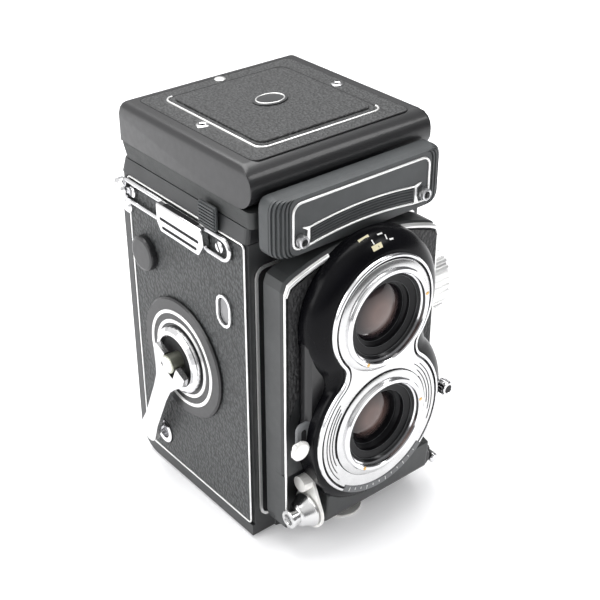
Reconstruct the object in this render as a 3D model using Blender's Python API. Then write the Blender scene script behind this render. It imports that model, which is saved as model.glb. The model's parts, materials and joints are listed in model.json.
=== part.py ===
"""A twin lens reflex camera as separate pieces. The lenses face -Y, the winding crank is at -X, +Z is up.

Sizes are in millimetres and turned into metres where a mesh is made. The origin lies on the face of the
tripod plate, in the plane of the lens axes.
"""

import math

import bmesh
import bpy
from mathutils import Vector

MM = 0.001
GAP = 0.3

# Body
BODY_HALF = 37.5
SKIN = 0.7
SHELL_HALF = BODY_HALF - SKIN - GAP
WALL = 2.0
FRONT = -22.5
DOOR_SEAM = 45.6
REAR = 49.5
SHELL_BOTTOM = 6.2
SHELL_TOP = 119.4
DOOR_BOTTOM = 1.2
DOOR_HINGE = (47.75, 106.2)
TOP_FRAME_TOP = 124.9
HOOD_BASE_TOP = 131.3
SCREEN_MIDDLE = 13.0

# Lenses and front standard
TAKING = 48.4
VIEWING = 91.2
STANDARD_HALF = 33.6
STANDARD_BACK = -25.8
STANDARD_FRONT = -35.8
HUB_FRONT = -45.3
PLATE_FRONT = -46.5
BAYONET_FRONT = -49.5
BAYONET_R = 15.7
GLASS_R = 9.3
CELL_BACK = -28.0

# Hood
LID_HALF = 37.5
LID_FRONT = -25.8
LID_REAR = 48.9
LID_BOTTOM = 131.6
LID_TOP = 146.0
BARREL_R = (LID_TOP - LID_BOTTOM) / 2
LID_PIVOT = (LID_FRONT + BARREL_R, LID_BOTTOM + BARREL_R)

# Film transport, as (y, z) of each axis
CRANK = (15.8, 58.7)
CRANK_GRIP = (33.4, 19.6)
CRANK_FOLD_X = -43.2
TAKE_UP = (33.0, 91.0)
SUPPLY = (0.0, 19.5)
ROLLERS = {"film_roller_upper": (42.6, 79.0), "film_roller_lower": (42.6, 17.8)}
COUNTER = (-10.2, 90.5)
PIVOT_CAP = (35.5, 93.0)
RECESS = (32.6, 16.4)
SHAFT_HOLE = 3.8
SPOOL_R = 11.5

# Controls
FOCUS = (-11.0, 76.5)
FOCUS_R = 17.5
FOCUS_END = 51.0
RELEASE = (-38.2, 17.8)
RELEASE_X = -24.9
LEVER_R = 34.8
APERTURE_ANGLE = 174
SPEED_ANGLE = -5
LEVER_TRAVEL = 32


def clear_scene():
    for obj in list(bpy.data.objects):
        bpy.data.objects.remove(obj, do_unlink=True)


def material(name, colour, roughness, metallic):
    made = bpy.data.materials.new(name)
    made.use_nodes = True
    shader = made.node_tree.nodes["Principled BSDF"]
    shader.inputs["Base Color"].default_value = (*colour, 1.0)
    shader.inputs["Roughness"].default_value = roughness
    shader.inputs["Metallic"].default_value = metallic
    made.diffuse_color = (*colour, 1.0)
    return made


def on_axis(axis, u, v, along):
    """A point with u and v across an axis, in the order X, Y, Z, and a distance along it."""
    if axis == "X":
        return Vector((along, u, v))
    if axis == "Y":
        return Vector((u, along, v))
    return Vector((u, v, along))


def arc(centre, radius, start, end, steps):
    angles = [math.radians(start + (end - start) * i / steps) for i in range(steps + 1)]
    return [(centre[0] + radius * math.cos(a), centre[1] + radius * math.sin(a)) for a in angles]


def circle(centre, radius, steps):
    return arc(centre, radius, 0, 360, steps)[:-1]


def rounded_box(low, high, radius, steps=3):
    """An outline of a rectangle with round corners, anticlockwise from its lower right corner."""
    (left, bottom), (right, top) = low, high
    corners = [
        ((right - radius, bottom + radius), -90),
        ((right - radius, top - radius), 0),
        ((left + radius, top - radius), 90),
        ((left + radius, bottom + radius), 180),
    ]
    return [point for centre, start in corners for point in arc(centre, radius, start, start + 90, steps)]


def slot_outline(start, end, radius, steps=6):
    """A stadium around the line from start to end."""
    turn = math.degrees(math.atan2(end[1] - start[1], end[0] - start[0]))
    return arc(end, radius, turn - 90, turn + 90, steps) + arc(start, radius, turn + 90, turn + 270, steps)


def figure_eight(upper_r, lower_r, waist_r, steps=6):
    """Two circles on the lens axes, joined by a round waist on each side, as (x, z) points."""
    span = VIEWING - TAKING
    upper, lower = upper_r + waist_r, lower_r + waist_r
    height = (span**2 + lower**2 - upper**2) / (2 * span)
    side = math.sqrt(lower**2 - height**2)
    waist = (side, TAKING + height)
    to_upper = math.degrees(math.atan2(VIEWING - waist[1], -side))
    to_lower = math.degrees(math.atan2(TAKING - waist[1], -side)) % 360
    right = arc((0, TAKING), lower_r, -90, to_lower - 180, steps * 2)
    right += arc(waist, waist_r, to_lower, to_upper, steps)[1:-1]
    right += arc((0, VIEWING), upper_r, to_upper - 180, 90, steps * 2)
    return right + [(-x, z) for x, z in reversed(right[1:-1])]


def loft(sections):
    """A closed skin through loops of equally many points, flat at both ends."""
    mesh = bmesh.new()
    loops = [[mesh.verts.new(point) for point in section] for section in sections]
    for low, high in zip(loops, loops[1:]):
        for i, vert in enumerate(low):
            mesh.faces.new((vert, low[i - 1], high[i - 1], high[i]))
    mesh.faces.new(loops[0])
    mesh.faces.new(list(reversed(loops[-1])))
    return mesh


def prism(outline, axis, low, high):
    return loft([[on_axis(axis, u, v, along) for u, v in outline] for along in (low, high)])


def box(low, high):
    return prism([low[:2], (high[0], low[1]), high[:2], (low[0], high[1])], "Z", low[2], high[2])


def tube(outer, inner, axis, low, high):
    """A prism with a hole, from two outlines of equally many points."""
    mesh = bmesh.new()
    rings = []
    for outline, along in ((outer, low), (outer, high), (inner, high), (inner, low)):
        rings.append([mesh.verts.new(on_axis(axis, u, v, along)) for u, v in outline])
    for ring, following in zip(rings, rings[1:] + rings[:1]):
        for i, vert in enumerate(ring):
            mesh.faces.new((vert, ring[i - 1], following[i - 1], following[i]))
    return mesh


def turned(profile, axis, centre, steps=32):
    """A profile of (radius, along) points turned about an axis. It is a ring unless it ends on the axis."""
    mesh = bmesh.new()
    solid = profile[0][0] == 0
    rings = []
    for radius, along in profile:
        if radius == 0:
            rings.append([mesh.verts.new(on_axis(axis, *centre, along))] * steps)
        else:
            rings.append([mesh.verts.new(on_axis(axis, u, v, along)) for u, v in circle(centre, radius, steps)])
    pairs = list(zip(rings, rings[1:]))
    if not solid:
        pairs.append((rings[-1], rings[0]))
    for first, second in pairs:
        for i in range(steps):
            corners = dict.fromkeys((first[i], first[i - 1], second[i - 1], second[i]))
            if len(corners) > 2:
                mesh.faces.new(list(corners))
    return mesh


def make(name, mesh, finish=None, pivot=(0, 0, 0)):
    """An object from a mesh in millimetres, with its origin at the pivot."""
    bmesh.ops.recalc_face_normals(mesh, faces=mesh.faces)
    bmesh.ops.translate(mesh, verts=mesh.verts, vec=-Vector(pivot))
    bmesh.ops.scale(mesh, verts=mesh.verts, vec=Vector((MM, MM, MM)))
    data = bpy.data.meshes.new(name)
    mesh.to_mesh(data)
    mesh.free()
    obj = bpy.data.objects.new(name, data)
    bpy.context.scene.collection.objects.link(obj)
    obj.location = Vector(pivot) * MM
    if finish:
        data.materials.append(finish)
        data.shade_smooth()
        data.set_sharp_from_angle(angle=math.radians(35))
    return obj


def combine(obj, operation, *meshes):
    """Adds Boolean modifiers that cut the meshes from an object or join them to it."""
    for mesh in meshes:
        tool = make(f"{obj.name}_tool", mesh)
        tool.hide_render = True
        tool.display_type = "WIRE"
        modifier = obj.modifiers.new(operation.title(), "BOOLEAN")
        modifier.operation = operation
        modifier.solver = "EXACT"
        modifier.object = tool
    return obj


def cut(obj, *meshes):
    return combine(obj, "DIFFERENCE", *meshes)


def join(obj, *meshes):
    return combine(obj, "UNION", *meshes)


def rod(axis, centre, radius, low, high, steps=20):
    return prism(circle(centre, radius, steps), axis, low, high)


def finishes():
    return {
        "black_enamel": material("black_enamel", (0.012, 0.012, 0.013), 0.18, 0.0),
        "black_satin": material("black_satin", (0.02, 0.02, 0.022), 0.5, 0.0),
        "leather": material("leather", (0.035, 0.036, 0.04), 0.7, 0.0),
        "chrome": material("chrome", (0.8, 0.8, 0.82), 0.12, 1.0),
        "satin_metal": material("satin_metal", (0.62, 0.62, 0.63), 0.4, 1.0),
        "glass": material("glass", (0.09, 0.06, 0.06), 0.03, 0.0),
        "mirror": material("mirror", (0.9, 0.9, 0.9), 0.02, 1.0),
        "plastic": material("plastic", (0.03, 0.03, 0.03), 0.45, 0.0),
    }


def body_pieces(finish):
    outline = [
        (FRONT, SHELL_BOTTOM),
        (DOOR_SEAM, SHELL_BOTTOM),
        (DOOR_SEAM, 108.4),
        (49.2, 108.4),
        (49.2, SHELL_TOP),
        (FRONT, SHELL_TOP),
    ]
    shell = make("body_shell", prism(outline, "X", -SHELL_HALF, SHELL_HALF), finish["black_satin"])
    inside = SHELL_HALF - WALL
    cut(
        shell,
        box((-inside, FRONT + WALL, 8.4), (inside, 60, 106)),
        box((-inside, -12, 0), (inside, 60, 10)),
        box((-inside, FRONT + WALL, 105), (inside, 40, 117)),
        box((-27.5, SCREEN_MIDDLE - 27.5, 116), (27.5, SCREEN_MIDDLE + 27.5, 121)),
        prism(rounded_box((-31, 14), (31, 109), 4), "Y", FRONT - 1, FRONT + WALL + 1),
        rod("X", CRANK, SHAFT_HOLE, -40, -30),
        rod("X", FOCUS, SHAFT_HOLE, 30, 40),
        rod("X", TAKE_UP, SHAFT_HOLE, 30, 40),
        rod("X", SUPPLY, SHAFT_HOLE, 30, 40),
        rod("X", RECESS, 4.3, -40, -30),
        prism(slot_outline((COUNTER[0], 88.4), (COUNTER[0], 92.6), 2.7), "X", -40, -30),
    )
    skin_low, skin_high = (FRONT + 1.9, SHELL_BOTTOM + 1), (DOOR_SEAM - 0.9, SHELL_TOP - 1)
    skin = rounded_box(skin_low, skin_high, 0.6, 2)
    crank_skin = make("side_leather_crank", prism(skin, "X", -BODY_HALF, SKIN - BODY_HALF), finish["leather"])
    cut(
        crank_skin,
        rod("X", CRANK, SHAFT_HOLE, -40, -30),
        rod("X", RECESS, 5.4, -40, -30),
        prism(slot_outline((COUNTER[0], 88.4), (COUNTER[0], 92.6), 2.7), "X", -40, -30),
    )
    focus_skin = make("side_leather_focus", prism(skin, "X", BODY_HALF - SKIN, BODY_HALF), finish["leather"])
    cut(focus_skin, *[rod("X", at, SHAFT_HOLE, 30, 40) for at in (FOCUS, TAKE_UP, SUPPLY)])
    frame = tube(
        rounded_box((-34.7, 9), (34.7, 111), 4),
        rounded_box((-33.7, 10), (33.7, 110), 3),
        "Y",
        FRONT - 0.9,
        FRONT - 0.3,
    )
    make("front_frame", frame, finish["chrome"])
    slope = loft(
        [
            [on_axis("Z", x, y, z) for x, y in rounded_box((-half, front), (half, rear), 1.5)]
            for half, front, rear, z in ((37.5, FRONT, 49.2, SHELL_TOP + GAP), (36.5, -22.2, 48.4, TOP_FRAME_TOP))
        ]
    )
    top = make("top_frame", slope, finish["satin_metal"])
    cut(top, box((-27.5, SCREEN_MIDDLE - 27.5, 110), (27.5, SCREEN_MIDDLE + 27.5, 130)))
    half = 27.5 - GAP
    screen = box((-half, SCREEN_MIDDLE - half, 121), (half, SCREEN_MIDDLE + half, 122.6))
    make("focusing_screen", screen, finish["glass"])
    mirror = prism([(-11, 67.2), (35, 113.2), (33.9, 114.3), (-12.1, 68.3)], "X", -27, 27)
    make("reflex_mirror", mirror, finish["mirror"])
    tunnel = loft(
        [
            [on_axis("Y", x, z, y) for x, z in rounded_box((-h, TAKING - h), (h, TAKING + h), 1)]
            for h, y in ((19.5, 14), (28.9, 39.2))
        ]
    )
    tunnel_piece = make("exposure_tunnel", tunnel, finish["black_satin"])
    join(tunnel_piece, box((-34, 38.4, 20), (34, 40, 77.3)))
    bore = loft(
        [
            [on_axis("Y", x, z, y) for x, z in rounded_box((-h, TAKING - h), (h, TAKING + h), 1)]
            for h, y in ((17.9, 13), (28.0, 41))
        ]
    )
    cut(tunnel_piece, bore)


def side_fittings(finish):
    disc = [(SHAFT_HOLE, -38.9), (22.4, -38.9), (23.06, -38.4), (23.06, -37.8), (SHAFT_HOLE, -37.8)]
    make("crank_escutcheon", turned(disc, "X", CRANK, 48), finish["black_enamel"])
    cup = [(0, -33), (3.9, -33), (3.9, -36.8), (5.0, -36.8), (5.0, -38), (3.1, -38), (3.1, -34), (0, -34)]
    make("crank_recess_cup", turned(cup, "X", RECESS, 24), finish["chrome"])
    ring = tube(
        slot_outline((COUNTER[0], 88.3), (COUNTER[0], 92.7), 3.95),
        slot_outline((COUNTER[0], 88.3), (COUNTER[0], 92.7), 2.9),
        "X",
        -38.4,
        -37.8,
    )
    make("counter_ring", ring, finish["chrome"])
    dial = [(0, -34.2), (8.5, -34.2), (8.5, -33.5), (0, -33.5)]
    make("counter_dial", turned(dial, "X", COUNTER, 28), finish["satin_metal"], (-33.8, *COUNTER))
    cap = [(0, -40.4), (5.4, -40.4), (6.3, -40.1), (6.5, -39.5), (6.5, -37.8), (0, -37.8)]
    make("pivot_cap", turned(cap, "X", PIVOT_CAP, 28), finish["black_enamel"])
    for side, name in ((-1, "strap_lug_crank"), (1, "strap_lug_focus")):
        near, far = side * (BODY_HALF + GAP), side * (BODY_HALF + 1.4)
        rail = prism(slot_outline((-10.8, 113.3), (45.0, 113.3), 3.3), "X", min(near, far), max(near, far))
        lug = make(name, rail, finish["chrome"])
        slots = [slot_outline((-10, 113.3), (-6, 113.3), 1.9, 4), slot_outline((27, 113.3), (39.6, 113.3), 1.9, 4)]
        cut(lug, *[prism(slot, "X", min(near, far) - 1, max(near, far) + 1) for slot in slots])
        outer = side * 41.0
        block = [(-3.6, 112.6), (-1, 108.2), (20.6, 108.2), (22.9, 111.5), (22.9, 118.4), (-3, 118.4)]
        join(lug, prism(block, "X", min(near, outer), max(near, outer)))
        grooves = [((-0.6, 109.7), (19.6, 110.8)), ((-1.8, 112.7), (20.8, 113.8))]
        groove_x = (min(side * 40.3, side * 43), max(side * 40.3, side * 43))
        cut(lug, *[box((groove_x[0], *low), (groove_x[1], *high)) for low, high in grooves])
        slot_x = (min(side * 38.9, side * 40.2), max(side * 38.9, side * 40.2))
        cut(lug, box((slot_x[0], 0, 115), (slot_x[1], 20, 121)))
    slide = [(-8.5, 119.9), (3, 119.9), (3, 128.6), (-8.5, 128.6)]
    slide_piece = make("hood_lock_slide", prism(slide, "X", -39.4, -37.8), finish["plastic"])
    cut(slide_piece, *[box((-40, -9, z - 0.35), (-38.9, 4, z + 0.35)) for z in (121.6, 123.4, 125.2, 127)])
    for name, at in (("spool_knob_upper", TAKE_UP), ("spool_knob_lower", SUPPLY)):
        knob = [(0, 44), (5.6, 44), (6.4, 43.2), (6.4, 39.4), (5.2, 37.8), (2.9, 37.8), (2.9, 33.2), (0, 33.2)]
        make(name, turned(knob, "X", at, 24), finish["chrome"], (37.8, *at))


def transport_pieces(finish):
    hub = [
        (0, -33.5), (3.4, -33.5), (3.4, -39.2), (12.5, -39.2), (12.5, -40.8), (11.4, -41.8),
        (9.9, -41.8), (9.7, -39.9), (3.3, -39.9), (3.3, -44.9), (2.9, -45.2), (0, -45.2),
    ]
    make("crank_hub", turned(hub, "X", CRANK, 36), finish["chrome"], (-39.2, *CRANK))
    reach = Vector(CRANK_GRIP) - Vector(CRANK)
    along = reach.normalized()
    across = Vector((-along.y, along.x))

    def place(distance, side):
        return tuple(Vector(CRANK) + along * distance + across * side)

    half = [(-1.4, 3.8), (-1.4, 9.2), (2.6, 9.4), (7.5, 6.6), (12, 4.7), (18, 4.1), (reach.length - 7, 3.9)]
    end_turn = math.degrees(math.atan2(along.y, along.x))
    outline = [place(4.6, -3.8)] + [place(distance, -side) for distance, side in half]
    outline += arc(CRANK_GRIP, 4.9, end_turn - 80, end_turn + 80, 8)
    outline += [place(distance, side) for distance, side in reversed(half)] + [place(4.6, 3.8)]
    pivot = Vector((CRANK_FOLD_X, *CRANK))
    make("crank_arm", prism(outline, "X", CRANK_FOLD_X - 1, CRANK_FOLD_X + 1), finish["chrome"], pivot)
    grip = [(0, -41.8), (3.2, -41.8), (3.4, -41.2), (2.8, -39.2), (2.4, -38.8), (0, -38.8)]
    make("crank_grip", turned(grip, "X", CRANK_GRIP, 20), finish["chrome"], (-40, *CRANK_GRIP))
    for name, at in (("take_up_spool", TAKE_UP), ("supply_spool", SUPPLY)):
        spool = [(0, -32), (SPOOL_R, -32), (SPOOL_R, -31), (5.5, -31), (5.5, 31), (SPOOL_R, 31), (SPOOL_R, 32), (0, 32)]
        make(name, turned(spool, "X", at, 24), finish["plastic"], (0, *at))
    for name, at in ROLLERS.items():
        roller = [(0, -33), (2.4, -33), (2.4, 33), (0, 33)]
        make(name, turned(roller, "X", at, 14), finish["satin_metal"], (0, *at))


def focus_knob(finish):
    knurls = 44
    outline = []
    for i in range(knurls):
        for step, radius in ((0.0, FOCUS_R), (0.4, FOCUS_R), (0.55, FOCUS_R - 0.7), (0.85, FOCUS_R - 0.7)):
            angle = 2 * math.pi * (i + step) / knurls
            outline.append((FOCUS[0] + radius * math.cos(angle), FOCUS[1] + radius * math.sin(angle)))
    knob = make("focus_knob", prism(outline, "X", 40.5, 49.6), finish["chrome"], (38, *FOCUS))
    skirt = [(0, 33.5), (3.4, 33.5), (3.4, 38.2), (18.6, 38.2), (18.6, 39.6), (16.2, 41.5), (0, 41.5)]
    face = [(0, 49), (16.2, 49), (15.6, 50.2), (13.4, FOCUS_END), (0, FOCUS_END)]
    join(knob, turned(skirt, "X", FOCUS, 44), turned(face, "X", FOCUS, 44))


def standard_outline(inset):
    half, bottom, corner = STANDARD_HALF - inset, 6.5 + inset, 8 - inset
    right = arc((half - corner, bottom + corner), corner, -90, 0, 4)
    shoulder = [(half, 107 - inset), (half - 1.2, 110 - inset), (half - 4, 111.4 - inset)]
    crown = [(x, 111.4 - inset + 5.4 * (1 - (x / (half - 4)) ** 2)) for x in (22.0, 14.0, 7.0)]
    right += shoulder + crown
    return right + [(0, 116.8 - inset)] + [(-x, z) for x, z in reversed(right)]


def standard_pieces(finish):
    sections = ((0.0, STANDARD_BACK), (0.0, STANDARD_FRONT + 1.8), (0.9, STANDARD_FRONT))
    plate = loft([[on_axis("Y", x, z, y) for x, z in standard_outline(inset)] for inset, y in sections])
    standard = make("lens_standard", plate, finish["black_satin"])
    pocket = ((-36, -60, 5), (-23.6, -30.5, 34.2))
    cut(
        standard,
        rod("Y", (0, TAKING), 16.6, -40, -20, 32),
        rod("Y", (0, VIEWING), 16.6, -40, -20, 32),
        box(*pocket),
    )
    trap = tube(
        rounded_box((-30, 15), (30, 108), 3, 2),
        rounded_box((-28.8, 16.2), (28.8, 106.8), 2, 2),
        "Y",
        STANDARD_BACK + GAP,
        -13,
    )
    make("light_trap", trap, finish["black_satin"])
    sections = ((28.3, 33.3, STANDARD_FRONT - GAP), (27.7, 33.2, -40.5), (24.6, 30.6, -44.2), (22.6, 28.3, HUB_FRONT))
    skin = loft([[on_axis("Y", x, z, y) for x, z in figure_eight(up, low, 8)] for up, low, y in sections])
    hub = make("hub_casting", skin, finish["black_enamel"])
    skirt = [
        (y, z)
        for y, z in ((STANDARD_FRONT - GAP, 6.8), (-40.2, 6.8), (-42.4, 9), (-43.6, 30), (STANDARD_FRONT - GAP, 30))
    ]
    join(hub, prism(skirt, "X", -23.3, 23.3))
    slots = []
    for middle in (APERTURE_ANGLE, SPEED_ANGLE):
        start, end = middle - LEVER_TRAVEL, middle + LEVER_TRAVEL
        sector = arc((0, TAKING), 30, start, end, 8) + arc((0, TAKING), 40, end, start, 8)
        slots.append(prism(sector, "Y", -42, -39.8))
    cut(hub, rod("Y", (0, TAKING), 16.2, -60, -30, 36), rod("Y", (0, VIEWING), 16.2, -60, -30, 36), box(*pocket), *slots)
    plate = prism(figure_eight(21.7, 27.3, 6, 8), "Y", PLATE_FRONT, PLATE_FRONT + 0.9)
    cut(make("face_plate", plate, finish["chrome"]), *[rod("Y", (0, z), 16.1, -60, -30, 36) for z in (TAKING, VIEWING)])
    for side, name in ((-1, "standard_leather_left"), (1, "standard_leather_right")):
        panel = [(12.6, 113.2), (21, 111.6), (30.5, 108.2), (32.2, 106), (32.2, 50), (20, 70)]
        skin = make(
            name,
            prism([(side * x, z) for x, z in panel], "Y", STANDARD_FRONT - 0.8, STANDARD_FRONT - GAP),
            finish["leather"],
        )
        cut(skin, prism(figure_eight(28.6, 33.6, 7.7), "Y", -40, -30))


def lens_pieces(finish):
    for name, z in (("viewing", VIEWING), ("taking", TAKING)):
        ring = [
            (13.6, BAYONET_FRONT + 0.6), (14.2, BAYONET_FRONT), (15.2, BAYONET_FRONT), (BAYONET_R, -48.9),
            (BAYONET_R, -44), (13.6, -44),
        ]
        make(f"{name}_bayonet", turned(ring, "Y", (0, z), 36), finish["chrome"])
        cell = [
            (12.6, -48.2), (13.2, -48.2), (13.2, -43.6), (BAYONET_R, -43.6), (BAYONET_R, CELL_BACK),
            (9.7, CELL_BACK), (9.7, -43.4),
        ]
        make(f"{name}_cell", turned(cell, "Y", (0, z), 36), finish["black_satin"])
        dome = [(0, -45.0), (4, -44.8), (7, -44.3), (GLASS_R, -43.5), (GLASS_R, -38), (0, -38)]
        make(f"{name}_glass", turned(dome, "Y", (0, z), 28), finish["glass"])
    unit = [(8, STANDARD_BACK + GAP), (19.5, STANDARD_BACK + GAP), (19.5, -16), (8, -16)]
    make("shutter_unit", turned(unit, "Y", (0, TAKING), 28), finish["black_satin"])


def front_levers(finish):
    axis = (0, -41, TAKING)
    for name, angle, radius, back in (
        ("aperture_lever", APERTURE_ANGLE, 3.4, -43.4),
        ("shutter_speed_lever", SPEED_ANGLE, 2.0, -41.2),
    ):
        turn = math.radians(angle)
        out = (math.cos(turn), math.sin(turn))
        knob = (LEVER_R * out[0], TAKING + LEVER_R * out[1])
        inner = (31.6 * out[0], TAKING + 31.6 * out[1])
        bar = make(name, prism(slot_outline(inner, knob, 1.1, 4), "Y", -41.6, -40.3), finish["chrome"], axis)
        disc = [(0, -44.9), (radius * 0.8, -44.9), (radius, -44.5), (radius, back), (0, back)]
        join(bar, turned(disc, "Y", knob, 18), rod("Y", knob, 1.3, back - 0.5, -40.5, 12))


def release_pieces(finish):
    lever_tip = (-37.2, 29.8)
    low, high = RELEASE_X, RELEASE_X + 1
    lever = make("release_lock_lever", rod("X", RELEASE, 7.2, low, high, 28), finish["chrome"], (low, *RELEASE))
    blade = [(-44.6, 21), (-40, 31), (-37.2, 32.7), (-34.4, 31), (-33.8, 27.8), (-32.1, 21.6), (-38.2, 12.8)]
    join(lever, prism(blade, "X", low, high), rod("X", lever_tip, 3.0, low - 3.4, high - 0.2, 16))
    low = RELEASE_X - GAP
    collar = [
        (1.9, low), (6.2, low), (6.2, low - 0.8), (4.4, low - 4.6), (3.4, low - 5), (3.0, low - 5.4),
        (3.0, low - 7.6), (3.3, low - 7.8), (3.3, low - 8.6), (1.9, low - 8.6),
    ]
    make("release_collar", turned(collar, "X", RELEASE, 24), finish["chrome"])
    pin = rod("X", RELEASE, 1.6, low - 7.6, low - 2.6, 12)
    make("release_button", pin, finish["satin_metal"], (low - 7.6, *RELEASE))
    socket_at = (29.2, 13.6)
    socket = [(1.2, -40.4), (3.2, -40.4), (3.6, -40), (3.6, -36.1), (1.2, -36.1)]
    make("sync_socket", turned(socket, "Y", socket_at, 20), finish["chrome"])
    ring = [(4.0, -38.2), (5.4, -38.2), (5.4, -36.4), (4.0, -36.4)]
    lever = make("sync_lever", turned(ring, "Y", socket_at, 24), finish["black_enamel"], (29.2, -37, 13.6))
    join(lever, rod("Y", (34.9, 11.1), 1.9, -40.2, -36.7, 14))


def back_pieces(finish):
    radius = REAR - DOOR_HINGE[0]
    outline = [(FRONT + GAP, DOOR_BOTTOM)]
    outline += arc((REAR - 10, DOOR_BOTTOM + 10), 10, -90, 0, 6)
    outline += arc(DOOR_HINGE, radius, 0, 180, 8)
    outline += [(DOOR_SEAM + 0.4, SHELL_BOTTOM - GAP), (FRONT + GAP, SHELL_BOTTOM - GAP)]
    door = prism(outline, "X", -BODY_HALF, BODY_HALF)
    piece = make("back_door", door, finish["leather"], (0, *DOOR_HINGE))
    join(piece, *[rod("Z", (x, y), 3, 0, 2, 12) for x in (-29, 29) for y in (-14, 38)])
    make("pressure_plate", prism(rounded_box((-29, 22), (29, 75.5), 2, 2), "Y", 42, 43.2), finish["black_satin"])
    spring = [(43.5, 28), (45.2, 44), (45.2, 52), (43.5, 68), (43.9, 68), (45.7, 53), (45.7, 43), (43.9, 28)]
    make("pressure_spring", prism(spring, "X", -7, 7), finish["satin_metal"])
    plate = make("tripod_plate", prism(slot_outline((0, 6), (0, 20), 11, 10), "Z", 0, 0.9), finish["satin_metal"])
    cut(plate, rod("Z", (0, 14), 3.2, -1, 2, 20))
    tongue = arc((-1, -27.5), 8, 180, 360, 10) + [(7, -9), (-9, -9)]
    make("back_latch", prism(tongue, "Z", 0, 0.9), finish["chrome"], (-1, -12, 0))


def lid_section(inset, half):
    front, top = LID_PIVOT
    outline = [(LID_REAR - inset, LID_BOTTOM)]
    outline += arc((LID_REAR - 5, LID_TOP - 5), 5 - inset, 0, 90, 4)
    outline += arc((front, top), BARREL_R - inset, 90, 270, 10) + [(front + 4, LID_BOTTOM)]
    return [on_axis("X", y, z, half) for y, z in outline]


def hood_pieces(finish):
    ring = tube(
        rounded_box((-36.4, -24.2), (36.4, 48.2), 3),
        rounded_box((-34.2, -20), (34.2, 45), 1),
        "Z",
        TOP_FRAME_TOP + GAP,
        HOOD_BASE_TOP,
    )
    make("hood_base", ring, finish["black_enamel"])
    ends = [(3.4, -LID_HALF), (1.0, -36.7), (0.0, -34.9), (0.0, 34.9), (1.0, 36.7), (3.4, LID_HALF)]
    lid = make("hood_lid", loft([lid_section(inset, x) for inset, x in ends]), finish["black_enamel"], (0, *LID_PIVOT))
    cut(
        lid,
        box((-35.2, -9, 120), (35.2, 46, 143.6)),
        prism(rounded_box((-32.5, -21.3), (32.5, 43.9), 2.4), "Z", 145.3, 150),
    )
    flap = prism(rounded_box((-25, -14), (25, 37.5), 4), "Z", 145.6, 146.3)
    make("finder_flap", flap, finish["leather"])
    hinge = (0, 16.4, 142.6)
    frame = tube(rounded_box((-16, 16.4), (16, 43), 2), rounded_box((-12, 20), (12, 40), 8), "Z", 141.8, 143.2)
    make("magnifier", frame, finish["black_satin"], hinge)
    wall = [(-5.2, 33.5), (42, 33.5), (10.5, 1.6), (-5.2, 1.6)]
    for side, name in ((-1, "hood_side_left"), (1, "hood_side_right")):
        panel = prism([(side * x, y) for y, x in wall], "Z", 129.4, 130.2)
        make(name, panel, finish["black_satin"], (side * 33.5, 0, 129.8))
    back = prism([(-30, 43.5), (30, 43.5), (24, 6), (-24, 6)], "Z", 130.7, 131.5)
    make("hood_back", back, finish["black_satin"], (0, 43.5, 131.1))


def nameplate(finish):
    outline = rounded_box((-35.5, -34.5), (35.5, -26.6), 2.4, 4)
    casting = make("nameplate", prism(outline, "Z", 118, 135.8), finish["plastic"])
    join(
        casting,
        box((-30, -27, 119.9), (30, FRONT - GAP, 124.2)),
        *[rod("Y", (x, 123.3), 1.9, -37.2, -33, 16) for x in (-26, 26)],
    )


def build():
    clear_scene()
    finish = finishes()
    for pieces in (
        body_pieces,
        side_fittings,
        transport_pieces,
        focus_knob,
        standard_pieces,
        lens_pieces,
        front_levers,
        release_pieces,
        back_pieces,
        hood_pieces,
        nameplate,
    ):
        pieces(finish)


build()
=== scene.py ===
"""Finishes, trims and light for the twin lens reflex camera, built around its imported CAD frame."""

import json
import math

import bmesh
import bpy
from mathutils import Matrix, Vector

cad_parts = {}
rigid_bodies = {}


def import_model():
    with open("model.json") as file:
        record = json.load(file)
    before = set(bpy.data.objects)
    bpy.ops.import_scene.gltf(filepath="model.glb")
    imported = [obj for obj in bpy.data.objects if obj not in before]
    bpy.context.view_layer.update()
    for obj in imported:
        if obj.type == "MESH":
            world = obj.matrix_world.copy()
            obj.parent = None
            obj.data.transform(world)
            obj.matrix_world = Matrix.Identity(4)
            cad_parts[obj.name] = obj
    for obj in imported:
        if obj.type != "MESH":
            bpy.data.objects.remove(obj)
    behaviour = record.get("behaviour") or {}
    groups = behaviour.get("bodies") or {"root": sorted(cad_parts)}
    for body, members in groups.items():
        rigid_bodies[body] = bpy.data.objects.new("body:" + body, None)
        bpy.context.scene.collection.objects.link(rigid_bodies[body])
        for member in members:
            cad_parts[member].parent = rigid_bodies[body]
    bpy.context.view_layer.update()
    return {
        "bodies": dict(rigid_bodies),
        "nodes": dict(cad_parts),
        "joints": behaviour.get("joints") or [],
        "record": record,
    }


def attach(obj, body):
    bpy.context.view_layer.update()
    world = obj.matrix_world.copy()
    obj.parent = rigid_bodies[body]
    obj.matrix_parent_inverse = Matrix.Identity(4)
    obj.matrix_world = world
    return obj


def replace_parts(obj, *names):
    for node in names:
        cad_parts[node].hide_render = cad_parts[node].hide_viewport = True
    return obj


MM = 0.001

# Places shared with the CAD, in millimetres
TAKING = 48.4
VIEWING = 91.2
GLASS_R = 9.3
CRANK = (15.8, 58.7)
RELEASE = (-38.2, 17.8)
LID_TOP = 146.0
LID_UNDER = 131.6
NAME_FRONT = -34.5
STANDARD_FRONT = -35.75
FACE_FRONT = -46.6
LEVER_AT = (-33.4, 51.0)
SPEED_AT = (34.7, 45.6)
SYNC_AT = (29.2, 13.6)
LUG_Z = 114.3

# How fine the unevenness in paint and plating is, in steps per metre
UNEVEN = 90.0
GLOSS = 420.0
PLATING = 160.0
MARKS = 300.0

# The photograph's camera
EYE = (-0.2277, -0.2801, 0.2944)
SIGHT = (0.5431, 0.6616, -0.5170)


# Materials


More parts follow.
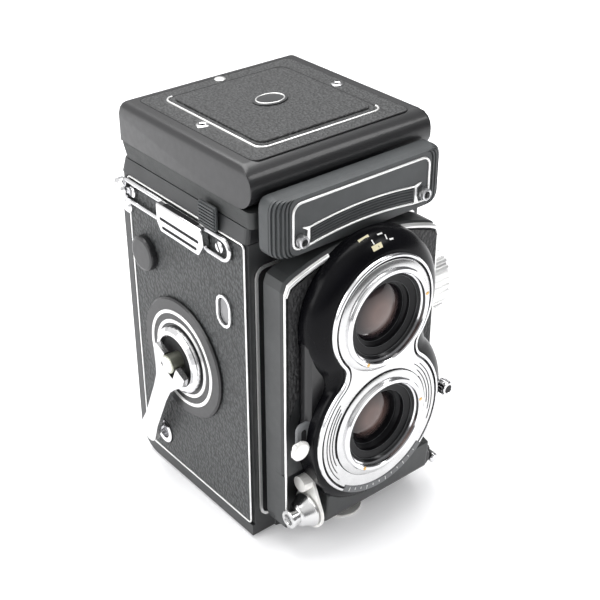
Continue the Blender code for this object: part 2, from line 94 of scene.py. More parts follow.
def shader_tree(name):
    """A new material with its nodes, its links and its main shader."""
    finish = bpy.data.materials.new(name)
    finish.use_nodes = True
    tree = finish.node_tree
    return finish, tree.nodes, tree.links, tree.nodes["Principled BSDF"]


def object_space(nodes, links, stretch=(1.0, 1.0, 1.0)):
    """A place on the object's surface, stretched along its axes."""
    coordinates = nodes.new("ShaderNodeTexCoord")
    mapping = nodes.new("ShaderNodeMapping")
    mapping.inputs["Scale"].default_value = stretch
    links.new(coordinates.outputs["Object"], mapping.inputs["Vector"])
    return mapping.outputs["Vector"]


def noise(nodes, links, space, scale, detail=3.0):
    """A soft uneven value between 0 and 1."""
    texture = nodes.new("ShaderNodeTexNoise")
    texture.inputs["Scale"].default_value = scale
    texture.inputs["Detail"].default_value = detail
    links.new(space, texture.inputs["Vector"])
    return texture.outputs["Fac"]


def ramp(nodes, links, value, low, high, start=0.3, end=0.7):
    """A colour that goes from low to high as the value goes from start to end."""
    mixer = nodes.new("ShaderNodeValToRGB")
    first, last = mixer.color_ramp.elements
    first.position, last.position = start, end
    first.color, last.color = (*low, 1.0), (*high, 1.0)
    links.new(value, mixer.inputs["Fac"])
    return mixer.outputs["Color"]


def spread(nodes, links, value, low, high):
    """A value from 0 to 1 fitted between low and high."""
    fitted = nodes.new("ShaderNodeMapRange")
    fitted.inputs["To Min"].default_value = low
    fitted.inputs["To Max"].default_value = high
    links.new(value, fitted.inputs["Value"])
    return fitted.outputs["Result"]


def raise_by(nodes, links, shader, height, depth):
    """A fine relief on the surface, with its depth in millimetres."""
    bump = nodes.new("ShaderNodeBump")
    bump.inputs["Distance"].default_value = depth * MM
    bump.inputs["Strength"].default_value = 1.0
    links.new(height, bump.inputs["Height"])
    links.new(bump.outputs["Normal"], shader.inputs["Normal"])


def scaled(colour, factor):
    return tuple(min(1.0, channel * factor) for channel in colour)


def paint(name, colour, rough, coat=0.0, grain=1800.0, depth=0.0, specular=0.5):
    """A painted or moulded surface, slightly uneven in colour and gloss, with a fine grain on request."""
    finish, nodes, links, shader = shader_tree(name)
    space = object_space(nodes, links)
    broad = noise(nodes, links, space, UNEVEN)
    tone = ramp(nodes, links, broad, scaled(colour, 0.85), scaled(colour, 1.2))
    links.new(tone, shader.inputs["Base Color"])
    gloss = spread(nodes, links, noise(nodes, links, space, GLOSS), rough * 0.85, rough * 1.2)
    links.new(gloss, shader.inputs["Roughness"])
    shader.inputs["Specular IOR Level"].default_value = specular
    shader.inputs["Coat Weight"].default_value = coat
    shader.inputs["Coat Roughness"].default_value = 0.12
    if depth:
        raise_by(nodes, links, shader, noise(nodes, links, space, grain), depth)
    return finish


def metal(name, colour, rough, brushed=(1.0, 1.0, 1.0), metallic=1.0, depth=0.0):
    """A plated or bare metal with faint marks drawn out along the brushing."""
    finish, nodes, links, shader = shader_tree(name)
    space = object_space(nodes, links, brushed)
    broad = noise(nodes, links, space, PLATING)
    tone = ramp(nodes, links, broad, scaled(colour, 0.93), scaled(colour, 1.04))
    links.new(tone, shader.inputs["Base Color"])
    gloss = spread(nodes, links, noise(nodes, links, space, MARKS), rough * 0.85, rough * 1.2)
    links.new(gloss, shader.inputs["Roughness"])
    shader.inputs["Metallic"].default_value = metallic
    if depth:
        raise_by(nodes, links, shader, noise(nodes, links, space, 1500.0), depth)
    return finish


def hide(name, colour, cells, stretch, depth, rough=0.5):
    """Pebbled leather: cells with dark creases between them as painted shade, lighter tops as painted light,
    finer wrinkles over them, and shinier tops.
    """
    finish, nodes, links, shader = shader_tree(name)
    space = object_space(nodes, links, stretch)
    bend = nodes.new("ShaderNodeVectorMath")
    bend.operation = "MULTIPLY_ADD"
    warp = nodes.new("ShaderNodeTexNoise")
    warp.inputs["Scale"].default_value = cells * 0.6
    links.new(space, warp.inputs["Vector"])
    links.new(warp.outputs["Color"], bend.inputs[0])
    bend.inputs[1].default_value = (0.9 / cells,) * 3
    links.new(space, bend.inputs[2])
    pebbles = nodes.new("ShaderNodeTexVoronoi")
    pebbles.feature = "SMOOTH_F1"
    pebbles.inputs["Scale"].default_value = cells
    pebbles.inputs["Smoothness"].default_value = 0.35
    links.new(bend.outputs["Vector"], pebbles.inputs["Vector"])
    tops = spread(nodes, links, pebbles.outputs["Distance"], 1.0, 0.0)
    wrinkles = noise(nodes, links, space, cells * 2.4, 5.0)
    height = nodes.new("ShaderNodeMath")
    height.operation = "MULTIPLY_ADD"
    height.inputs[1].default_value = 0.45
    links.new(wrinkles, height.inputs[0])
    links.new(tops, height.inputs[2])
    # The colour follows the relief: painted shade in the creases, painted light on the pebble tops.
    grain_with_painted_light_and_shade = ramp(nodes, links, height.outputs[0], scaled(colour, 0.5), scaled(colour, 1.35), 0.6, 1.12)
    links.new(grain_with_painted_light_and_shade, shader.inputs["Base Color"])
    links.new(spread(nodes, links, wrinkles, rough * 0.75, rough * 1.3), shader.inputs["Roughness"])
    raise_by(nodes, links, shader, height.outputs[0], depth)
    return finish


def lens_glass(name, centre_z, middle, edge):
    """Coated glass over a dark barrel: a warm middle of painted reflection falls off to a dark rim of painted
    shade, in rings about the axis.
    """
    finish, nodes, links, shader = shader_tree(name)
    coordinates = nodes.new("ShaderNodeTexCoord")
    shift = nodes.new("ShaderNodeVectorMath")
    shift.operation = "SUBTRACT"
    shift.inputs[1].default_value = (0.0, 0.0, centre_z * MM)
    flat = nodes.new("ShaderNodeVectorMath")
    flat.operation = "MULTIPLY"
    flat.inputs[1].default_value = (1000.0 / GLASS_R, 0.0, 1000.0 / GLASS_R)
    length = nodes.new("ShaderNodeVectorMath")
    length.operation = "LENGTH"
    links.new(coordinates.outputs["Object"], shift.inputs[0])
    links.new(shift.outputs["Vector"], flat.inputs[0])
    links.new(flat.outputs["Vector"], length.inputs[0])
    # Painted reflection in the middle, fading to painted shade at the rim.
    tone = ramp(nodes, links, length.outputs["Value"], middle, edge, 0.35, 0.98)
    links.new(tone, shader.inputs["Base Color"])
    space = object_space(nodes, links)
    links.new(spread(nodes, links, noise(nodes, links, space, MARKS), 0.02, 0.05), shader.inputs["Roughness"])
    shader.inputs["Specular IOR Level"].default_value = 0.3
    shader.inputs["Coat Weight"].default_value = 0.4
    shader.inputs["Coat Roughness"].default_value = 0.02
    shader.inputs["Coat Tint"].default_value = (1.0, 0.9, 0.86, 1.0)
    return finish


def paper(name, colour):
    """Even pale paper that keeps a little light of its own, so that shadows on it stay soft."""
    finish, nodes, links, shader = shader_tree(name)
    tone = noise(nodes, links, object_space(nodes, links), 12.0)
    shade = ramp(nodes, links, tone, scaled(colour, 0.99), scaled(colour, 1.01))
    links.new(shade, shader.inputs["Base Color"])
    links.new(shade, shader.inputs["Emission Color"])
    shader.inputs["Emission Strength"].default_value = 0.22
    shader.inputs["Roughness"].default_value = 0.8
    return finish


def finishes():
    """Every material by its short name."""
    return {
        "leather": hide("leather", (0.044, 0.047, 0.048), 900.0, (1.0, 1.0, 0.78), 0.5),
        # A darker copy of the side leather for the standard's front: painted shade.
        "front_leather_painted_shade": hide("front_leather_painted_shade", (0.010, 0.010, 0.011), 820.0, (1.0, 1.0, 0.72), 0.34),
        "lid_leather": hide("lid_leather", (0.042, 0.043, 0.044), 1000.0, (1.0, 1.0, 1.0), 0.34),
        "enamel": paint("enamel", (0.006, 0.006, 0.007), 0.42, coat=0.25),
        # A darker, less reflective copy of the enamel for the hub: painted shade.
        "hub_black": paint("hub_black", (0.003, 0.003, 0.004), 0.24, specular=0.1),
        "satin": paint("satin", (0.024, 0.025, 0.026), 0.38),
        "panel": paint("panel", (0.030, 0.032, 0.033), 0.42),
        "band": paint("band", (0.14, 0.145, 0.15), 0.45),
        "nut": metal("nut", (0.42, 0.43, 0.36), 0.34),
        "pale": metal("pale", (0.93, 0.92, 0.89), 0.34, metallic=0.35),
        "matte": paint("matte", (0.008, 0.008, 0.009), 0.62),
        "casting": paint("casting", (0.046, 0.050, 0.052), 0.48, grain=2600.0, depth=0.05),
        "cloth": paint("cloth", (0.026, 0.028, 0.028), 0.55, grain=2400.0, depth=0.08),
        "chrome": metal("chrome", (0.76, 0.76, 0.77), 0.12),
        "satin_chrome": metal("satin_chrome", (0.66, 0.66, 0.66), 0.24),
        "trim": metal("trim", (0.90, 0.90, 0.89), 0.3, metallic=0.75),
        "steel": metal("steel", (0.6, 0.6, 0.61), 0.36, brushed=(1.0, 6.0, 1.0)),
        "brass": metal("brass", (0.66, 0.42, 0.16), 0.25),
        "cream": paint("cream", (0.74, 0.68, 0.46), 0.45),
        "white": paint("white", (0.82, 0.82, 0.80), 0.5),
        # Dark ink for engraved marks, also used as painted shade in screw slots, stud holes and the gaps
        # between ribs.
        "engraving_and_painted_shade": paint("engraving_and_painted_shade", (0.03, 0.03, 0.032), 0.5),
        "shade": paint("shade", (0.012, 0.012, 0.013), 0.7, specular=0.2),
        "barrel": paint("barrel", (0.005, 0.005, 0.006), 0.3, specular=0.15),
        "window": paint("window", (0.16, 0.16, 0.165), 0.14, coat=0.5),
        "screen": paint("screen", (0.45, 0.46, 0.46), 0.3, grain=3000.0, depth=0.02),
        "mirror": metal("mirror", (0.92, 0.92, 0.92), 0.02),
        # The lenses' colour holds painted reflection and painted shade.
        "viewing_glass": lens_glass("viewing_glass", VIEWING, (0.15, 0.105, 0.095), (0.012, 0.009, 0.012)),
        "taking_glass": lens_glass("taking_glass", TAKING, (0.14, 0.095, 0.085), (0.010, 0.008, 0.010)),
    }


NODE_FINISH = {
    "leather": ("side_leather_crank", "side_leather_focus"),
    "front_leather_painted_shade": ("standard_leather_left", "standard_leather_right"),
    "lid_leather": ("finder_flap",),
    "cloth": ("hood_base",),
    "enamel": ("hood_lid", "hub_casting", "crank_escutcheon", "pivot_cap", "sync_lever"),
    "satin": ("body_shell", "top_frame", "back_door", "hood_lock_slide"),
    "panel": ("lens_standard",),
    "matte": (
        "light_trap", "exposure_tunnel", "shutter_unit", "viewing_cell", "taking_cell", "pressure_plate",
        "hood_side_left", "hood_side_right", "hood_back", "magnifier", "take_up_spool", "supply_spool",
    ),
    "casting": ("nameplate",),
    "chrome": (
        "strap_lug_crank", "strap_lug_focus", "crank_hub", "crank_grip", "viewing_bayonet",
        "taking_bayonet", "face_plate", "aperture_lever", "shutter_speed_lever", "release_collar",
        "sync_socket", "spool_knob_upper", "spool_knob_lower", "counter_ring", "crank_recess_cup",
    ),
    "satin_chrome": ("crank_arm",),
    # The back latch is plated; its pale, mostly diffuse colour stands in for the bright reflection it shows:
    # painted reflection.
    "pale": ("back_latch", "release_lock_lever"),
    "trim": ("front_frame", "focus_knob"),
    "steel": (
        "counter_dial", "film_roller_upper", "film_roller_lower", "pressure_spring", "tripod_plate",
        "release_button",
    ),
    "screen": ("focusing_screen",),
    "mirror": ("reflex_mirror",),
    "viewing_glass": ("viewing_glass",),
    "taking_glass": ("taking_glass",),
}


# Shapes


def arc(centre, radius, start, end, steps):
    """Points round part of a circle, between two angles in degrees."""
    angles = [math.radians(start + (end - start) * i / steps) for i in range(steps + 1)]
    return [(centre[0] + radius * math.cos(a), centre[1] + radius * math.sin(a)) for a in angles]


def circle(centre, radius, steps=32):
    return arc(centre, radius, 0, 360, steps)[:-1]


def rounded(low, high, radius, steps=5):
    """A rectangle with round corners, from its low front corner."""
    (left, bottom), (right, top) = low, high
    corners = (
        ((right - radius, bottom + radius), -90),
        ((right - radius, top - radius), 0),
        ((left + radius, top - radius), 90),
        ((left + radius, bottom + radius), 180),
    )
    return [point for centre, turn in corners for point in arc(centre, radius, turn, turn + 90, steps)]


def on_axis(axis, u, v, along):
    """A point from its two places across an axis and its place along it."""
    if axis == "X":
        return Vector((along, u, v)) * MM
    if axis == "Y":
        return Vector((u, along, v)) * MM
    return Vector((u, v, along)) * MM


def place(obj, finish, body):
    """Adds a piece to the scene with its material, on the body it moves with."""
    bpy.context.scene.collection.objects.link(obj)
    obj.data.materials.append(finish)
    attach(obj, body)
    return obj


def surface(name, points, faces, finish, body, bevel=0.0, smooth=35.0):
    """A mesh piece, smooth below an angle and with its edges rounded where a bevel is given."""
    data = bpy.data.meshes.new(name)
    data.from_pydata([tuple(p) for p in points], [], faces)
    data.validate()
    obj = bpy.data.objects.new(name, data)
    data.shade_smooth()
    data.set_sharp_from_angle(angle=math.radians(smooth))
    if bevel:
        rounding = obj.modifiers.new("Rounding", "BEVEL")
        rounding.width = bevel * MM
        rounding.segments = 2
        rounding.limit_method = "ANGLE"
        rounding.angle_limit = math.radians(40)
    return place(obj, finish, body)


def slab(name, outline, axis, low, high, finish, body, bevel=0.0):
    """An outline drawn out along an axis."""
    count = len(outline)
    points = [on_axis(axis, u, v, low) for u, v in outline] + [on_axis(axis, u, v, high) for u, v in outline]
    faces = [tuple(range(count))[::-1], tuple(range(count, 2 * count))]
    faces += [(i, (i + 1) % count, count + (i + 1) % count, count + i) for i in range(count)]
    return surface(name, points, faces, finish, body, bevel)


def lathe(name, profile, axis, centre, finish, body, steps=56, closed=False):
    """A shape turned about an axis from (radius, distance along the axis) pairs."""
    points, faces = [], []
    for radius, along in profile:
        points += [on_axis(axis, u, v, along) for u, v in circle(centre, max(radius, 0.001), steps)]
    pairs = list(range(len(profile) - 1)) + ([-1] if closed else [])
    for k in pairs:
        for i in range(steps):
            j = (i + 1) % steps
            start, after = (k % len(profile)) * steps, ((k + 1) % len(profile)) * steps
            faces.append((start + i, start + j, after + j, after + i))
    return surface(name, points, faces, finish, body)


def wire(name, points, radius, finish, body, cyclic=False, sides=2):
    """A round bead along a line of points."""
    data = bpy.data.curves.new(name, "CURVE")
    data.dimensions = "3D"
    data.bevel_depth = radius * MM
    data.bevel_resolution = sides
    data.use_fill_caps = True
    spline = data.splines.new("POLY")
    spline.points.add(len(points) - 1)
    for point, at in zip(spline.points, points):
        point.co = (*at, 1.0)
    spline.use_cyclic_u = cyclic
    return place(bpy.data.objects.new(name, data), finish, body)


def along(axis, outline, at):
    """A flat outline as points in space, at a place along an axis."""
    return [on_axis(axis, u, v, at) for u, v in outline]


def strips(loops, count, start=0):
    """Faces between neighbouring loops of points, each a closed loop of the same length."""
    faces = []
    for k in range(loops - 1):
        for i in range(count):
            j = (i + 1) % count
            low, high = start + k * count, start + (k + 1) * count
            faces.append((low + i, low + j, high + j, high + i))
    return faces


def shell(name, loops, finish, body, caps=(True, True), smooth=35.0):
    """A skin through loops of points, closed at either end if asked."""
    count = len(loops[0])
    points = [point for loop in loops for point in loop]
    faces = strips(len(loops), count)
    if caps[0]:
        faces.append(tuple(range(count))[::-1])
    if caps[1]:
        faces.append(tuple(range(len(points) - count, len(points))))
    return surface(name, points, faces, finish, body, smooth=smooth)


def pierced(name, outline, holes, axis, at, finish, body):
    """A flat face inside an outline with holes through it."""
    mesh = bmesh.new()
    for line in (outline, *holes):
        verts = [mesh.verts.new(on_axis(axis, u, v, at)) for u, v in line]
        for first, second in zip(verts, verts[1:] + verts[:1]):
            mesh.edges.new((first, second))
    bmesh.ops.triangle_fill(mesh, use_beauty=True, use_dissolve=False, edges=mesh.edges[:])
    data = bpy.data.meshes.new(name)
    mesh.to_mesh(data)
    mesh.free()
    return place(bpy.data.objects.new(name, data), finish, body)


def figure_eight(upper_r, lower_r, waist_r, steps=14):
    """Two circles on the lens axes, joined by a round waist on each side, as (x, z) points."""
    span = VIEWING - TAKING
    upper, lower = upper_r + waist_r, lower_r + waist_r
    height = (span**2 + lower**2 - upper**2) / (2 * span)
    side = math.sqrt(lower**2 - height**2)
    waist = (side, TAKING + height)
    to_upper = math.degrees(math.atan2(VIEWING - waist[1], -side))
    to_lower = math.degrees(math.atan2(TAKING - waist[1], -side)) % 360
    right = arc((0, TAKING), lower_r, -90, to_lower - 180, steps * 2)
    right += arc(waist, waist_r, to_lower, to_upper, steps)[1:-1]
    right += arc((0, VIEWING), upper_r, to_upper - 180, 90, steps * 2)
    return right + [(-x, z) for x, z in reversed(right[1:-1])]


def stadium(start, end, radius, steps=10):
    """An outline round two centres that lie along the first axis, the lower one first."""
    return arc(end, radius, -90, 90, steps) + arc(start, radius, 90, 270, steps)


def screw(name, axis, centre, radius, low, high, finish, body, turn=30.0):
    """A screw head with a slot across it."""
    head = [(0, high), (radius * 0.8, high), (radius, high + (low - high) * 0.25), (radius, low)]
    lathe(f"{name}_head", head, axis, centre, finish["chrome"], body, 24)
    across = math.radians(turn)
    reach, half = radius * 0.86, radius * 0.16
    run = Vector((math.cos(across), math.sin(across)))
    side = Vector((-run.y, run.x)) * half
    middle = Vector(centre)
    corners = [middle - run * reach - side, middle + run * reach - side]
    corners += [middle + run * reach + side, middle - run * reach + side]
    lift = 0.06 if high > low else -0.06
    slot = [tuple(corner) for corner in corners]
    # The slot is a dark strip: painted shade.
    slab(f"{name}_slot", slot, axis, high - lift, high + lift, finish["engraving_and_painted_shade"], body)


# Pieces


def lug(side, name, finish):
    """The strap lug: two wire loops and a grooved block that holds the strap's hook."""
    body = "camera_body"
    for part, start, end in (("rear", 24.0, 43.6), ("front", -11.4, -4.0)):
        loop = stadium((start, LUG_Z), (end, LUG_Z), 3.7)
        wire(f"lug_{part}_loop_{name}", along("X", loop, side * 38.5), 0.85, finish["chrome"], body, True)
    block = [(-3.6, 112.6), (-1, 108.2), (20.6, 108.2), (22.9, 111.5), (22.9, 118.4), (-3, 118.4)]
    made = slab(f"lug_block_{name}", block, "X", side * 37.8, side * 41.0, finish["chrome"], body, 0.5)
    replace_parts(made, f"strap_lug_{name}")
    for i, (start, end, z) in enumerate(((-0.4, 19.4, 110.4), (-1.6, 20.6, 113.4))):
        groove = rounded((start, z - 0.55), (end, z + 0.55), 0.5, 3)
        slab(f"lug_groove_{i + 1}_{name}", groove, "X", side * 40.9, side * 41.05, finish["shade"], body)
    low, high = sorted((side * 38.5, side * 40.3))
    slot = rounded((low, 0.5), (high, 19.5), 0.4, 3)
    slab(f"lug_slot_{name}", slot, "Z", 118.3, 118.46, finish["shade"], body)


def side_trims(finish):
    """Bright lines round both sides, lugs with their bosses and screws, and the back's hinge rosettes."""
    body = "camera_body"
    for side, name in ((-1, "crank"), (1, "focus")):
        edge = rounded((-21.3, 6.6), (45.0, 119.2), 1.4)
        wire(f"side_line_{name}", along("X", edge, side * 37.5), 0.35, finish["trim"], body, True)
        lug(side, name, finish)
        boss = [(0, side * 41.2), (2.8, side * 41.2), (4.0, side * 40.2), (4.0, side * 38.0)]
        lathe(f"lug_boss_{name}", boss, "X", (47.0, 114.0), finish["chrome"], body, 32)
        face = [(0, side * 41.3), (1.9, side * 41.3), (2.1, side * 41.1)]
        lathe(f"lug_boss_face_{name}", face, "X", (47.0, 114.0), finish["steel"], body, 24)
        rosette = [(0, side * 39.2), (1.7, side * 39.2), (2.6, side * 38.4), (2.6, side * 37.4)]
        lathe(f"door_rosette_{name}", rosette, "X", (45.2, 107.6), finish["chrome"], body, 28)
        for part, y, turn in (("rear", 41.4, 95), ("front", -9.6, 60)):
            low, high = side * 37.6, side * 38.9
            screw(f"lug_screw_{part}_{name}", "X", (y, LUG_Z), 2.0, low, high, finish, body, turn)


def hood_details(finish):
    """The hood's skirt under the lid, and the ribbed slide that locks it."""
    body = "camera_body"
    levels = ((125.2, 36.4, -24.0, 47.6), (130.4, 37.2, -24.6, 48.5), (131.3, 37.2, -24.6, 48.5))
    loops = [along("Z", rounded((-half, front), (half, rear), 2.0), z) for z, half, front, rear in levels]
    inner = [along("Z", rounded((-34.3, -20.2), (34.3, 44.8), 2.0), z) for z in (131.3, 125.2)]
    ring = shell("hood_skirt", loops + inner + loops[:1], finish["cloth"], body, (False, False))
    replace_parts(ring, "hood_base")
    plate = rounded((-8.7, 119.2), (0.4, 127.6), 0.5, 3)
    slide = slab("hood_slide", plate, "X", -38.9, -37.9, finish["casting"], "hood_lock_slide", 0.2)
    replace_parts(slide, "hood_lock_slide")
    for i in range(7):
        z = 120.0 + 1.1 * i
        rib = rounded((-8.5, z - 0.33), (0.2, z + 0.33), 0.3, 3)
        slab(f"hood_slide_rib_{i + 1}", rib, "X", -39.5, -38.8, finish["casting"], "hood_lock_slide", 0.2)


def lid_profile(inset, drop):
    """The lid's side outline as (y, z): flat under, round over the rear edge and round about its hinge."""
    top = LID_TOP - drop
    foremost = -25.8 + inset
    under = [(47.7 - inset * 0.9, LID_UNDER)]
    rear = arc((47.7 - inset - 3.2, top - 3.2), 3.2, 0, 90, 8)
    nose = arc((-18.6, 138.8), 7.2, 96, 270, 20)
    nose = [(max(y, foremost) if y < -18.6 else y, min(z, top)) for y, z in nose]
    return under + rear + nose + [(-14.0, LID_UNDER)]


def lid_details(finish):
    """The lid as a hollow cover with round edges, its leather with the finder flap, and its studs and pin."""
    body = "hood_lid"
    sections = (
        (37.6, 0.3, 2.6), (37.55, 0.1, 2.0), (37.2, 0.0, 1.1),
        (36.5, 0.0, 0.4), (35.6, 0.0, 0.08), (34.8, 0.0, 0.0),
    )
    loops = [along("X", lid_profile(inset, drop), -x) for x, inset, drop in sections]
    loops += [along("X", lid_profile(inset, drop), x) for x, inset, drop in reversed(sections)]
    count = len(loops[0])
    skin = [face for face in strips(len(loops), count) if face[0] % count != count - 1]
    skin += [tuple(range(count))[::-1], tuple(range(count * (len(loops) - 1), count * len(loops)))]
    points = [point for loop in loops for point in loop]
    cover = surface("lid_cover", points, skin, finish["enamel"], body, smooth=50.0)
    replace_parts(cover, "hood_lid")
    hollow = [(-35.2, -9.0), (35.2, -9.0), (35.2, 46.0), (-35.2, 46.0)]
    rim = [(-37.6, -14.0), (37.6, -14.0), (37.6, 47.6), (-37.6, 47.6)]
    pierced("lid_rim", rim, [hollow], "Z", LID_UNDER, finish["enamel"], body)
    lining = [along("Z", hollow, z) for z in (LID_UNDER, 143.6)]
    shell("lid_lining", lining, finish["matte"], body, (False, True))
    field = rounded((-32.3, -20.6), (32.3, 43.2), 2.6)
    slab("lid_field", field, "Z", 145.7, 146.06, finish["lid_leather"], body)
    border = rounded((-32.5, -20.8), (32.5, 43.4), 2.8)
    wire("lid_field_edge", along("Z", border, 145.95), 0.22, finish["matte"], body, True)
    edge = rounded((-25.5, -14.9), (25.5, 38.0), 3.4)
    bright = edge[len(edge) // 2:] + edge[:len(edge) // 4]
    wire("flap_groove", along("Z", edge, 146.02), 0.3, finish["matte"], body, True)
    wire("flap_line", along("Z", bright, 146.15), 0.42, finish["trim"], body)
    raised = rounded((-23.4, -12.4), (23.4, 35.9), 3)
    slab("flap_panel", raised, "Z", 146.2, 147.0, finish["lid_leather"], body, 0.35)
    turns = [i * math.pi / 24 for i in range(48)]
    oval = [(0.5 + 6.6 * math.cos(turn), 13.2 + 4.9 * math.sin(turn)) for turn in turns]
    slab("emblem_base", oval, "Z", 146.9, 147.5, finish["satin"], body, 0.2)
    inner = [(0.5 + (x - 0.5) * 0.8, 13.2 + (y - 13.2) * 0.8) for x, y in oval]
    wire("emblem_rim", along("Z", inner, 147.5), 0.26, finish["trim"], body, True)
    pin = [(0, 146.9), (1.4, 146.8), (2.0, 146.4), (2.0, 146.1), (1.6, 145.6)]
    lathe("flap_pin", pin, "Z", (0.0, 40.9), finish["trim"], body, 32)
    for side, name in ((-1, "left"), (1, "right")):
        stud = [(0.9, 145.9), (0.9, 146.4), (1.4, 146.65), (2.1, 146.4), (2.2, 146.1), (1.9, 145.6)]
        at = (side * 28.4, 11.5)
        lathe(f"lid_stud_{name}", stud, "Z", at, finish["chrome"], body, 32)
        hole = [(0, 146.12), (1.0, 146.12)]
        lathe(f"lid_stud_hole_{name}", hole, "Z", at, finish["shade"], body, 20)


def plan_of_nameplate(inset):
    """Half of the plate's outline in plan, from its front's middle to its back, ribbed round the corner."""
    corner = 4.2
    path = [(x, NAME_FRONT) for x in (0.0, 15.0, 29.6)]
    for i in range(121):
        share = i / 120
        angle = math.radians(-90 + 90 * min(1.0, max(0.0, (share - 0.12) / 0.5)))
        slide_x = 29.8 + 1.5 * min(1.0, share / 0.12)
        slide_y = 4.6 * max(0.0, (share - 0.62) / 0.38)
        groove = 0.6 * max(0.0, math.sin(share * 2 * math.pi * 9.0)) ** 0.6 if share < 0.56 else 0.0
        radius = corner - groove
        x = slide_x + radius * math.cos(angle)
        y = NAME_FRONT + corner + slide_y * 0.8 + radius * math.sin(angle)
        path.append((x, y))
    path.append((35.5, -26.6))
    return [(x if x < 25 else x - inset, y) for x, y in path]


def nameplate(finish):
    """The casting over the lenses: ribbed ends, a framed blank field, a ribbed strip and two hollow studs."""
    body = "camera_body"
    levels = (
        (117.8, 3.0), (118.1, 1.7), (118.8, 0.8), (120.0, 0.2), (121.4, 0.0),
        (133.6, 0.0), (135.0, 0.2), (136.3, 0.8), (137.0, 1.7), (137.3, 3.0),
    )
    loops = []
    for z, inset in levels:
        half = plan_of_nameplate(inset)
        ring = half + [(-x, y) for x, y in reversed(half[1:])]
        loops.append([Vector((x, y, z)) * MM for x, y in ring])
    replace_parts(shell("name_casting", loops, finish["casting"], body), "nameplate")
    bracket = [(-30, -30), (30, -30), (30, -22.8), (-30, -22.8)]
    slab("name_bracket", bracket, "Z", 119.9, 124.2, finish["satin"], body)
    face = NAME_FRONT - 0.1

    def sag(x, low, rise):
        return low + rise * (1 - (x / 22.0) ** 2)

    steps = [22.0 - 44.0 * i / 16 for i in range(17)]
    frame = arc((26.0, 122.6), 2.6, 0, -80, 5) + [(x, sag(x, 120.2, 1.7)) for x in steps]
    frame += arc((-26.0, 122.6), 2.6, 260, 180, 5)
    frame += arc((-25.4, 132.2), 3.2, 180, 90, 5) + arc((25.4, 132.2), 3.2, 90, 0, 5)
    wire("name_frame", along("Y", frame, face), 0.45, finish["trim"], body, True)
    upper = [(24.8, 126.7)] + [(x, sag(x, 126.2, 1.7)) for x in steps] + [(-24.8, 126.7)]
    wire("name_strip_line", along("Y", upper, face), 0.36, finish["trim"], body)
    for side, name in ((-1, "left"), (1, "right")):
        bend = ((22.2, 120.2), (22.2, 126.3), (25.2, 127.1), (23.1, 125.6), (23.4, 122.0), (23.9, 120.2))
        hook = [(side * x, z) for x, z in bend]
        slab(f"name_hook_{name}", hook, "Y", face + 0.2, face - 0.35, finish["trim"], body)
        stud = [(1.1, -35.6), (1.2, -37.0), (1.5, -37.2), (2.0, -37.0), (2.1, -36.4), (2.0, NAME_FRONT)]
        at = (side * 25.9, 122.9)
        lathe(f"name_stud_{name}", stud, "Y", at, finish["steel"], body, 28)
        # The stud's hole is a dark disc: painted shade.
        lathe(f"name_stud_hole_{name}", [(0, -35.6), (1.1, -35.6)], "Y", at, finish["engraving_and_painted_shade"], body, 20)
    for i in range(5):
        rib = [(x * 0.985, sag(x, 121.3 + 0.98 * i, 1.7)) for x in steps]
        wire(f"name_rib_{i + 1}", along("Y", rib, NAME_FRONT - 0.05), 0.3, finish["casting"], body)
        # Dark lines between the ribs: painted shade.
        gap = along("Y", [(x, z + 0.48) for x, z in rib], NAME_FRONT)
        wire(f"name_rib_gap_{i + 1}", gap, 0.12, finish["engraving_and_painted_shade"], body, sides=1)


def standard_outline(inset):
    """The right half of the standard's front, from its foot to its arched top, as (x, z) points."""
    half, bottom, corner = 33.6 - inset, 6.5 + inset, 8 - inset
    right = arc((half - corner, bottom + corner), corner, -90, 0, 8)
    right += [(half, 107 - inset), (half - 1.2, 110 - inset), (half - 4, 111.4 - inset)]
    right += [(x, 111.4 - inset + 5.4 * (1 - (x / (half - 4)) ** 2)) for x in (26.0, 22.0, 18.5, 15.5)]
    return right


def standard_details(finish):
    """The standard's bright line, its extended left foot, and the bright bars beside the nameplate."""
    body = "front_standard"
    right = standard_outline(0.55)
    upright = [(x, z) for x, z in right if z > 14.0]
    wire("standard_line_right", along("Y", right, STANDARD_FRONT), 0.42, finish["trim"], body)
    lower = [(-upright[0][0], 14.5)] + [(-x, z) for x, z in upright]
    wire("standard_line_left", along("Y", lower, STANDARD_FRONT), 0.42, finish["trim"], body)
    wing = [(-33.63, 12.5), (-32.6, 11.5), (-32.6, 34.6), (-33.63, 34.6)]
    slab("standard_wing", wing, "Y", STANDARD_FRONT, -30.2, finish["panel"], body)
    backing = [(-33.4, 9.5), (-22, 7.0), (-22, 35.0), (-33.4, 35.0)]
    slab("standard_wing_back", backing, "Y", -30.3, -29.6, finish["matte"], body)
    for side, name in ((-1, "left"), (1, "right")):
        bar = [(side * x, z - 0.6) for x, z in right[-7:]]
        wire(f"standard_bar_{name}", along("Y", bar, -36.2), 0.75, finish["trim"], body)


def hub_outline(upper_r, lower_r):
    """The hub's outline, drawn in on its left where the levers and the release stand clear of it."""
    right = figure_eight(upper_r, lower_r, 8)
    left = figure_eight(upper_r, min(lower_r, 28.6), 8)
    half = len(right) // 2 + 1
    drawn = right[:half]
    for x, z in left[half:]:
        if z < TAKING:
            fall = math.degrees(math.atan2(TAKING - z, -x))
            reach = min(lower_r, 28.6 + 4.8 * max(0.0, (fall - 15.0) / 47.0) ** 1.6)
            turn = math.radians(180.0 + fall)
            x, z = reach * math.cos(turn), TAKING + reach * math.sin(turn)
        drawn.append((x, z))
    return drawn


